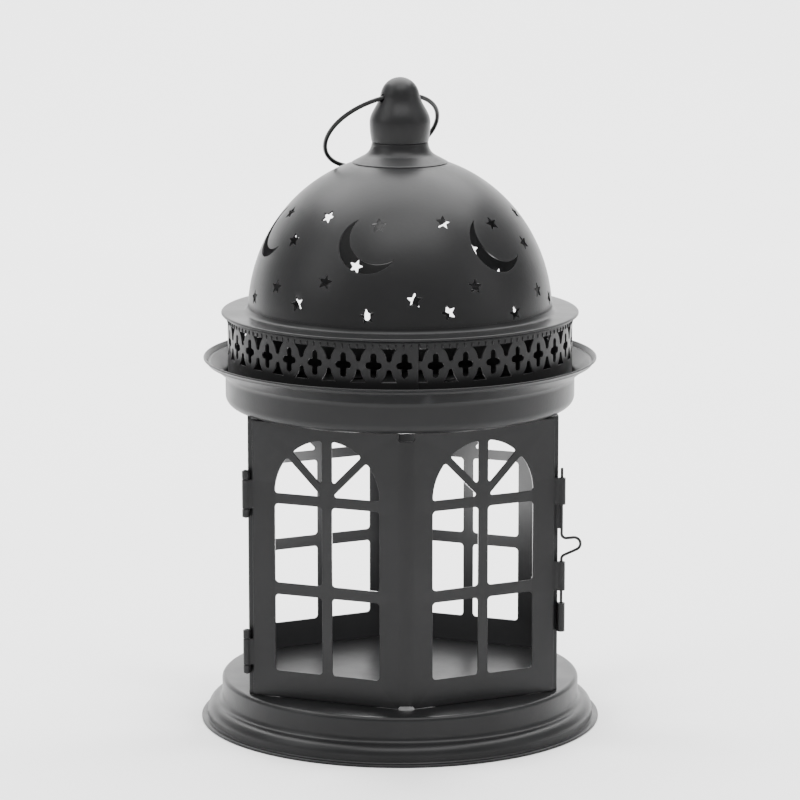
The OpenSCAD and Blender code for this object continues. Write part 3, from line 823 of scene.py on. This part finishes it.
def bolt_path():
    """Up the bolt from its tip: straight, out round the finger loop, and straight again."""
    bend_r, tip_r, out, back_turn, upper = 1.6, 2.2, 66, 95, 2.38
    lower = (tip_r * (cosd(out) - cosd(back_turn)) + upper * sind(back_turn)
             + bend_r * (cosd(out) - cosd(back_turn))) / sind(out)
    rise = (bend_r * (sind(out) + sind(back_turn)) + lower * cosd(out)
            + tip_r * (sind(out) + sind(back_turn)) + upper * cosd(back_turn))
    loop_z = 62.4
    at, heading = np.array([0.0, bolt_low.z]), 0.0
    path = [at]

    def straight(length, steps=6):
        nonlocal at
        ahead = np.array([sind(heading), cosd(heading)])
        path.extend(at + ahead * t for t in np.linspace(0, length, steps + 1)[1:])
        at = path[-1]

    def turn(r, angle):
        nonlocal at, heading
        side = 1 if angle > 0 else -1
        centre = at + side * r * np.array([cosd(heading), -sind(heading)])
        for a in np.linspace(0, angle, 17)[1:]:
            h = heading + a
            path.append(centre - side * r * np.array([cosd(h), -sind(h)]))
        at, heading = path[-1], heading + angle
    straight(loop_z - bolt_low.z)
    turn(bend_r, out)
    straight(lower)
    turn(tip_r, -out - back_turn)
    straight(upper)
    turn(bend_r, back_turn)
    straight(bolt_high.z - at[1])
    return [np.array([bolt_xy[0] + x, bolt_xy[1], z]) for x, z in path]


# ---------- top tray ----------
def make_tray():
    skin = Skin()
    corner_r = 3.5
    w = TRAY_WALL_R
    path = ([(VENT_R, TRAY_Z), (50.0, TRAY_Z)]
            + arc([w - corner_r, TRAY_Z + corner_r], corner_r, -90, 0, 10)
            + arc([w + 2.6, 121.2], 2.6, 180, 128, 7)
            + [(66.0, 126.7)]
            + arc([66.35, 127.55], 0.9, -65, -10, 4)
            + [(TRAY_LIP_R - 0.35, TRAY_LIP_Z - 0.75)])
    edge = arc([TRAY_LIP_R - 0.42, TRAY_LIP_Z - 0.42], 0.42, -20, 160, 8)
    lathe(skin, sheet_profile(path, SHEET, edge), 240)
    return skin


# ---------- gallery band ----------
MOTIFS, MOTIF_Z, MOTIF_TURN = 36, 135.3, -0.9
SEAM_ANGLE = 3.5
LAP, EASE = 2.2, 2.4            # how far the ends lie over each other, and the tucked one's rise
PITCH = BAND_R * 2 * math.pi / MOTIFS


def cross_opening(x, z):
    """A four-lobed opening, taller than it is wide."""
    w, h, reach_x, reach_z = 1.0, 1.15, 2.75, 4.2
    points = (arc([reach_x - h, 0], h, -90, 90, 8) + arc([w + 0.45, h + 0.45], 0.45, 270, 180, 3)
              + arc([0, reach_z - w], w, 0, 180, 8) + arc([-w - 0.45, h + 0.45], 0.45, 0, -90, 3))
    half = points + [np.array([-q[0], -q[1]]) for q in points]
    return [(x + q[0], z + q[1]) for q in half]


def horn_opening(x, z, up, least_x=-1e9):
    """An opening that is broad at the border and narrows to a round-ended stem. Nothing of it
    lies left of least_x."""
    stem, broad, top, foot = 0.85, 2.65, 5.7, 2.2
    side = [(stem + (broad - stem) * t ** 1.6, foot + (top - foot) * t) for t in np.linspace(0.05, 1, 8)]
    points = side + [(-a, b) for a, b in side[::-1]] + [tuple(q) for q in arc([0, foot], stem, 180, 360, 8)]
    return [(max(x + a, least_x), z + up * b) for a, b in points]


def make_band():
    skin = Skin()
    corner = (57.1, 115.5)
    corner_r = BAND_R - corner[0]
    top = band_high.z
    low, high = corner[1], top - 0.7
    end = math.radians(SEAM_ANGLE + 360) * BAND_R
    start = math.radians(SEAM_ANGLE) * BAND_R - LAP

    def surface(s, z):
        tuck = min(max(1 - (s - start - LAP) / EASE, 0.0), 1.0)
        r = BAND_R - (SHEET + 0.06) * tuck * tuck * (3 - 2 * tuck)
        a = s / BAND_R - math.pi / 2
        n = np.array([math.cos(a), math.sin(a), 0.0])
        return np.array([r * n[0], r * n[1], z]), n
    eased = start + LAP + EASE
    steps = np.concatenate([np.linspace(start, eased, 14)[:-1], np.linspace(eased, end, 250)])
    outline = [(s, low) for s in steps] + [(s, high) for s in steps[::-1]]
    holes = []
    for k in range(2 * MOTIFS + 2):
        x = math.radians(MOTIF_TURN) * BAND_R + k * PITCH / 2
        if x < start + 2.2 or x > end - 3.0:
            continue
        if k % 2 == 0:
            holes.append(cross_opening(x, MOTIF_Z))
        else:
            holes += [horn_opening(x, MOTIF_Z, up, start + 0.8) for up in (1, -1)]
    grid = [(s, z) for s in steps[1:-1] for z in (low + 3, low + 7, low + 11, high - 1.2)]
    pierced(skin, outline, holes, grid, surface)
    foot = [(55.8, corner[1] - corner_r)] + arc(corner, corner_r, -90, 0, 6)
    lathe(skin, sheet_profile(foot, SHEET), 200)
    rim = [(BAND_R, high)] + arc([BAND_R - 0.6, top - 0.6], 0.6, 0, 90, 4) + [(BAND_R - 3.4, top)]
    lathe(skin, sheet_profile(rim, SHEET), 200)
    for k in range(6):
        d = polar(60 * k)
        n = left_of(d)
        plan = [d * 39 + n * 4, d * 39 - n * 4, d * 56.2 - n * 4, d * 56.2 + n * 4]
        prism(skin, plan, corner[1] - corner_r, corner[1] - corner_r + SHEET)
    return skin


def make_beads():
    """The fine row of pressed beads along the band's upper border."""
    bead = Skin()
    rise = [(0.42 * cosd(a), 0.38 * sind(a)) for a in (0, 25, 50, 75)]
    sides = 10
    points = [(r * math.cos(t) * 0.9, r * math.sin(t) * 2.0, h - 0.05) for r, h in rise
              for t in around(sides)] + [(0, 0, 0.34)]
    faces, normals = [], []

    def out(i):
        x, y, z = points[i]
        return unit([x / 0.9 ** 2, y / 4.0, z + 0.05])
    for i in range(len(rise) - 1):
        for k in range(sides):
            m = (k + 1) % sides
            f = [i * sides + k, i * sides + m, (i + 1) * sides + m, (i + 1) * sides + k]
            faces.append(f)
            normals.append([out(v) for v in f])
    last = (len(rise) - 1) * sides
    for k in range(sides):
        f = [last + k, last + (k + 1) % sides, len(points) - 1]
        faces.append(f)
        normals.append([out(f[0]), out(f[1]), np.array([0, 0, 1.0])])
    bead.add(points, faces, normals)
    row = Skin()
    count = MOTIFS * 4
    for k in range(count):
        turn = Matrix.Rotation(2 * math.pi * (k + 0.5) / count, 4, "Z")
        stand = Matrix.Translation((0, -BAND_R, band_high.z - 1.9)) @ Matrix.Rotation(math.pi / 2, 4, "X")
        join(row, placed(bead, turn @ stand))
    return row


# ---------- round sheet pierced from above: dome and finial ----------
class Round:
    """A turned surface laid out flat about its top: the distance from the centre of the plan is
    the distance down the surface."""

    def __init__(self, samples):
        self.r, self.z, self.nr, self.nz = (np.array(column, float) for column in zip(*samples))
        step = np.hypot(np.diff(self.r), np.diff(self.z))
        self.down = np.concatenate([[0], np.cumsum(step)]) + self.r[0]

    def surface(self, x, y):
        down = math.hypot(x, y)
        c, s = (x / down, y / down) if down > 1e-9 else (1.0, 0.0)
        r, z, nr, nz = (float(np.interp(down, self.down, v)) for v in (self.r, self.z, self.nr, self.nz))
        n = unit([nr * c, nr * s, nz])
        return np.array([r * c, r * s, z]), n

    def plan(self, point):
        """Where a point of the surface lies in the plan."""
        order = np.argsort(self.z)
        down = float(np.interp(point[2], self.z[order], self.down[order]))
        angle = math.atan2(point[1], point[0])
        return (down * math.cos(angle), down * math.sin(angle))

    def ring(self, down, count):
        return [(down * math.cos(a), down * math.sin(a)) for a in around(count)]


def ellipse_samples(a, h, z0, u0, u1, n):
    rows = []
    for u in np.linspace(u0, u1, n + 1):
        c, s = cosd(u), sind(u)
        nr, nz = c / a, s / h
        length = math.hypot(nr, nz)
        rows.append((a * c, z0 + h * s, nr / length, nz / length))
    return rows


def punch(outline, angle, z, a, h, z0):
    """Drives an outline (right, up) straight into an ellipsoid at an angle from the front."""
    u = math.asin((z - z0) / h)
    c, s = math.cos(u), math.sin(u)
    side = np.array([sind(angle), -cosd(angle), 0])
    centre = side * a * c + np.array([0, 0, z0 + h * s])
    normal = unit(side * c / a + np.array([0, 0, s / h]))
    right = np.array([cosd(angle), sind(angle), 0])
    up = np.cross(normal, right)
    scale = np.array([1 / a, 1 / a, 1 / h])
    hits = []
    for x, y in outline:
        p = (centre + x * right + y * up - [0, 0, z0]) * scale
        d = normal * scale
        b, q, k = p @ d, d @ d, p @ p - 1
        t = (-b + math.sqrt(max(b * b - q * k, 0))) / q
        hits.append(centre + x * right + y * up + normal * t)
    return hits


STAR_R, STAR_WAIST = 2.9, 0.44
MOON_R, MOON_BITE_R, MOON_SHIFT, MOON_TILT = 10.5, 10.1, 4.25, 46.0
MOON_ANGLE, MOON_Z = -17.0, 173.5
STARS = [(3.2, 179.3, 8), (34.7, 180.6, -10), (-27.4, 152, 20), (-15.9, 160.3, -6),
         (2.3, 150.2, 12), (19.7, 156.1, 0)]
ODD_STAR = (20.7, 171.9, 15)
LEAN, LEAN_Z = 1.5, 144.0       # the whole pattern leans a little to the right about this height


def star(turn):
    corners = []
    for i in range(10):
        r = STAR_R if i % 2 == 0 else STAR_WAIST * STAR_R
        q = r * polar(90 - 36 * i + turn)
        corners.append((q[0], q[1], 0.16 if i % 2 == 0 else 0.1))
    return rounded(corners, 2)


def crescent():
    cross_x = (MOON_SHIFT ** 2 + MOON_R ** 2 - MOON_BITE_R ** 2) / (2 * MOON_SHIFT)
    reach = math.degrees(math.acos(cross_x / MOON_R))
    inner = bearing((cross_x - MOON_SHIFT, MOON_R * sind(reach)))
    points = arc([0, 0], MOON_R, reach + 1.2, 360 - reach - 1.2, 64)
    points += arc([MOON_SHIFT, 0], MOON_BITE_R, 360 - inner - 1.2, inner + 1.2, 56)
    c, s = polar(MOON_TILT)
    return [np.array([c * x - s * y, s * x + c * y]) for x, y in points]


def leaned(point):
    x, y, z = point
    c, s = polar(LEAN)
    return np.array([c * x + s * (z - LEAN_Z), y, LEAN_Z - s * x + c * (z - LEAN_Z)])


def dome_holes(dome):
    shapes = []
    for k in range(6):
        a = MOON_ANGLE + 60 * k
        shapes.append((crescent(), a, MOON_Z))
        shapes += [(star(turn), a + da, z) for da, z, turn in STARS]
        if k % 2 == 1:
            shapes.append((star(ODD_STAR[2]), a + ODD_STAR[0], ODD_STAR[1]))
    return [[dome.plan(leaned(p)) for p in punch(outline, a, z, DOME_R, DOME_H, DOME_Z)]
            for outline, a, z in shapes]


def make_dome():
    skin = Skin()
    top = math.degrees(math.acos(SCREW_HOLE_R / DOME_R))
    foot = math.degrees(math.asin((FLANGE_Z + FILLET - DOME_Z) / DOME_H))
    samples = ellipse_samples(DOME_R, DOME_H, DOME_Z, top, foot, 150)
    dome = Round(samples)
    count = 200
    outer = dome.ring(dome.down[-1], count)
    hole = dome.ring(dome.down[0], 32)
    grid = []
    for down in np.arange(dome.down[0] + 1.2, dome.down[-1] - 0.8, 1.6):
        n = count if down > 18 else 72
        grid += dome.ring(float(down), n)
    pierced(skin, outer, [hole] + dome_holes(dome), grid, dome.surface, SHEET, 0.09)
    r, z = samples[-1][:2]
    sweep = ([(r + 0.02, z + 0.12)] + arc([r + FILLET, FLANGE_Z + FILLET], FILLET, 183, 270, 9)
             + [(FLANGE_R - 1.6, FLANGE_Z)])
    hem = ([(FLANGE_R - HEM / 2, FLANGE_Z)]
           + arc([FLANGE_R - HEM / 2, FLANGE_Z - HEM / 2], HEM / 2, 90, -90, 8)
           + [(FLANGE_R - 1.9, FLANGE_Z - HEM)])
    lathe(skin, sheet_profile(sweep, -SHEET, hem), 240)
    return skin


# ---------- finial ----------
def make_foot():
    skin = Skin()
    top = foot_high.z
    neck_r, sweep_r = 9.8, 5.2
    centre = (neck_r + sweep_r, top - 0.1)
    path = ([(SCREW_HOLE_R, top), (neck_r - 0.5, top), (neck_r - 0.12, top - 0.1)]
            + arc(centre, sweep_r, 184, 238, 12))
    thin = [(foot_high.x - 0.9, foot_low.z + 0.6), (foot_high.x - 0.4, foot_low.z + 0.34),
            (foot_high.x, foot_low.z + 0.08), (foot_high.x - 0.25, foot_low.z + 0.01)]
    lathe(skin, sheet_profile(path, -SHEET, thin), 160)
    return skin


EYE_R, BULB_T = 1.4, 0.8        # the bulb's side holes and its thickness


def make_bulb():
    skin = Skin()
    lobe_r, bulb_r, foot_r = 6.7, bulb_high.x, 9.8
    lobe_z, wide_z, neck_z, bottom = bulb_high.z - 6.7, 210.0, 220.3, bulb_low.z
    rows = ellipse_samples(lobe_r, lobe_r, lobe_z, 90, 16, 40)

    def swell(t):
        rise = neck_z - wide_z
        r = lobe_r + (bulb_r - lobe_r) * (1 - math.cos(math.pi * t)) / 2
        slope = (bulb_r - lobe_r) * math.pi * math.sin(math.pi * t) / 2 / rise
        n = unit([1, slope])
        return (r, neck_z - rise * t, n[0], n[1])
    rows += [swell(t) for t in np.linspace(0.06, 1, 30)]
    for t in np.linspace(0.1, 1, 12):
        r = bulb_r - (bulb_r - foot_r) * t * t
        n = unit([1, -2 * (bulb_r - foot_r) * t / (wide_z - bottom)])
        rows.append((r, wide_z - (wide_z - bottom - 0.12) * t, n[0], n[1]))
    bulb = Round(rows)
    turn = bearing(ring_axis) + 90
    eye = [(EYE_R * math.cos(t), EYE_R * math.sin(t)) for t in around(24)]
    holes = [[bulb.plan(p) for p in punch(eye, a, ring_pivot[2], lobe_r, lobe_r, lobe_z)]
             for a in (turn, turn + 180)]
    grid = [(0.0, 0.0)]
    for down in np.arange(0.7, bulb.down[-1] - 0.4, 0.7):
        grid += bulb.ring(float(down), 96 if down > 4 else 36)
    pierced(skin, bulb.ring(bulb.down[-1], 120), holes, grid, bulb.surface, BULB_T, 0.1)
    lathe(skin, [(SCREW_HOLE_R, bottom), (foot_r - 0.15, bottom), (foot_r - 0.02, bottom + 0.13),
                 (foot_r - 0.3, bottom + BULB_T), (SCREW_HOLE_R, bottom + BULB_T)], 120)
    return skin


# ---------- ring, pins and rivets ----------
RING_REACH, RING_R, RING_WIRE_R = 19.3, 20.5, 0.78


def ring_path():
    """The ring lies in the plane of its pivot axis, leaning back onto the dome."""
    axis = unit(ring_axis)
    low, high = box("ring_handle")
    gap = np.array((low + high) / 2) - ring_pivot
    down = unit(gap - axis * (gap @ axis))
    centre = ring_pivot + RING_REACH * down
    return [centre + RING_R * (axis * math.cos(a) + down * math.sin(a)) for a in around(180)]


def domed(head_r, head_h, shank_r, grip):
    """A rivet's outline: snap head below, plain shank, and a formed head above."""
    steps = (5, 25, 45, 65, 85)
    low = [(head_r * cosd(a), -head_h * sind(a)) for a in steps[::-1]]
    high = [(head_r * cosd(a), grip + head_h * sind(a)) for a in steps]
    return [(0, -head_h)] + low + [(shank_r, 0), (shank_r, grip)] + high + [(0, grip + head_h)]


def make_pin(name):
    low, high = pins[name]
    head_r, head_h, pin_r = 0.95, 0.4, 0.6
    part = Skin()
    lathe(part, domed(head_r, head_h, pin_r, high.z - low.z - 2 * head_h), 32)
    return placed(part, Matrix.Translation((*hinge_xy, low.z + head_h)))


RIVET_HEAD_R, RIVET_HEAD_H, RIVET_R = 1.7, 0.5, 1.0


def rivets(places, grip):
    part = Skin()
    lathe(part, domed(RIVET_HEAD_R, RIVET_HEAD_H, RIVET_R, grip), 32)
    skin = Skin()
    for matrix in places:
        join(skin, placed(part, matrix))
    return skin


def rivet_sets():
    low, high = box("back_seam_rivets")
    sideways = Matrix.Rotation(math.pi / 2, 4, "Y")
    grip = 2 * (SHEET + SEAM_X)
    middle = (low.z + high.z) / 2
    reach = (high.z - low.z) / 2 - RIVET_HEAD_R
    seam = [Matrix.Translation((-grip / 2, (low.y + high.y) / 2, middle + k * reach)) @ sideways
            for k in (-1, 0, 1)]
    low, high = box("gallery_rivets")
    outward = Matrix.Translation((high.x - RIVET_HEAD_R, 0, low.z + RIVET_HEAD_H))
    tray = [Matrix.Rotation(math.radians(60 * k), 4, "Z") @ outward for k in range(6)]
    low, high = box("band_seam_rivets")
    turn = math.atan2((low.x + high.x) / 2, -(low.y + high.y) / 2)
    flat = Matrix.Rotation(math.pi / 2, 4, "X")
    lap = [Matrix.Rotation(turn, 4, "Z") @ Matrix.Translation((0, -BAND_R + SHEET, z)) @ flat
           for z in (low.z + RIVET_HEAD_R, high.z - RIVET_HEAD_R)]
    return {"back_seam_rivets": (seam, grip), "gallery_rivets": (tray, 2 * SHEET + 0.2),
            "band_seam_rivets": (lap, SHEET)}


# ---------- build ----------
SHEET_LOOK = (paint, "painted_sheet")
WIRE_LOOK = (wire_paint, "painted_wire")
RIVET_LOOK = (rivet_paint, "painted_rivets")


def dress(name, skin, node_name, look=SHEET_LOOK, body="lantern"):
    material, slot = look
    skin.make(name, material, body, [node_name], slot)


def make_walls():
    right = make_wall()
    left = mirrored(right)
    knuckle_strip(right, bolt_xy, KEEPER, CURL_R)
    x0, x1, y = SIDE_X - SHEET / 2, SIDE_X + BACKING_W, BACKING_IN - SIDE_Y
    prism(right, [(x0, y), (x1, y), (x1, y + SHEET), (x0, y + SHEET)], *BACKING)
    ears = Skin()
    for a, b in HINGES:
        for span in ((a, a + EAR_H), (b - EAR_H, b)):
            knuckle_strip(ears, np.array([-hinge_xy[0], hinge_xy[1]]), span, CURL_R)
    join(left, mirrored(ears))
    return right, left


dress("base_pan_pressing", make_base(), "base_pan")
right_wall, left_wall = make_walls()
dress("right_wall_sheet", right_wall, "right_wall")
dress("left_wall_sheet", left_wall, "left_wall")
dress("door_sheet", make_door(), "door_leaf", body="door")
bolt = Skin()
tube(bolt, bolt_path(), BOLT_R)
dress("bolt_wire", bolt, "latch_bolt", WIRE_LOOK, "bolt")
dress("top_tray_pressing", make_tray(), "top_tray")
band = make_band()
join(band, make_beads())
dress("gallery_band_openwork", band, "gallery_band")
dress("dome_pressing", make_dome(), "dome_shell")
dress("finial_collar", make_foot(), "finial_foot")
dress("finial_bulb_shell", make_bulb(), "finial_bulb")
ring = Skin()
tube(ring, ring_path(), RING_WIRE_R, closed=True, sides=20)
dress("ring_wire", ring, "ring_handle", WIRE_LOOK, "ring")
for name in pins:
    dress(name + "_wire", make_pin(name), name, WIRE_LOOK)
for name, (places, grip) in rivet_sets().items():
    dress(name + "_domed", rivets(places, grip), name, RIVET_LOOK)

for name in ("finial_screw", "finial_washer", "finial_nut"):
    obj = frame["nodes"][name]
    obj.data.materials.clear()
    obj.data.materials.append(zinc)


# ---------- stage ----------
def pale_floor():
    mesh = bpy.data.meshes.new("floor_sheet")
    span, rise, sweep = 8.0, 2.2, 0.8
    path = [(-span, 0.0)] + [(1.2 + sweep * math.sin(a), sweep * (1 - math.cos(a)))
                             for a in np.linspace(0, math.pi / 2, 14)] + [(1.2 + sweep, rise)]
    points = [(x, y, z) for x in (-span, span) for y, z in path]
    n = len(path)
    mesh.from_pydata(points, [], [(i, i + 1, n + i + 1, n + i) for i in range(n - 1)])
    mesh.polygons.foreach_set("use_smooth", [True] * (n - 1))
    material, tree, shader, place = new_material("pale_floor")
    tone = ramp(tree, noise(tree, place, 3.0, 2.0), [(0.3, 0.90), (0.7, 0.93)])
    wired(tree, shader, Base_Color=tone, Roughness=0.9)
    mesh.materials.append(material)
    floor = new_object("floor_sheet", mesh)


def area_light(name, place, target, size, power):
    data = bpy.data.lights.new(name, "AREA")
    data.shape = "RECTANGLE"
    data.size, data.size_y = size
    data.energy = power
    lamp = new_object(name, data)
    lamp.location = place
    lamp.rotation_euler = (Vector(target) - Vector(place)).to_track_quat("-Z", "Y").to_euler()


def studio():
    world = bpy.data.worlds.new("studio")
    bpy.context.scene.world = world
    world.use_nodes = True
    back_node = world.node_tree.nodes["Background"]
    back_node.inputs["Color"].default_value = (1, 1, 1, 1)
    back_node.inputs["Strength"].default_value = 0.7
    aim = (0, 0, 0.12)
    area_light("sky_panel", (0, 1.1, 1.9), (0, 1.1, 0), (3.0, 2.4), 165)
    area_light("key_left", (-1.5, -0.5, 1.1), aim, (1.0, 1.2), 9)
    area_light("front_high", (0.1, -0.65, 1.75), aim, (1.6, 0.9), 27)
    inner = bpy.data.lights.new("inner_fill", "POINT")
    inner.energy = 0.35
    inner.shadow_soft_size = 0.02
    glow = new_object("inner_fill", inner)
    glow.location = (0, -0.01, 0.07)
    glow.visible_camera = False
    area_light("fill_right", (1.7, -0.6, 0.9), aim, (0.7, 1.2), 4)


VIEW_AZIMUTH, VIEW_DISTANCE, VIEW_HEIGHT, LENS = -2.4, 1.294, 0.355, 170


def camera():
    low, high = size_before
    centre = Vector((0, 0, (low.z + high.z) / 2))
    away = Vector((sind(VIEW_AZIMUTH), -cosd(VIEW_AZIMUTH), 0)) * VIEW_DISTANCE
    data = bpy.data.cameras.new("camera")
    data.lens = LENS
    data.clip_end = 50
    cam = new_object("camera", data)
    cam.location = away + Vector((0, 0, VIEW_HEIGHT))
    cam.rotation_mode = "QUATERNION"
    cam.rotation_quaternion = (centre - cam.location).to_track_quat("-Z", "Y")
    bpy.context.scene.camera = cam


pale_floor()
studio()
camera()
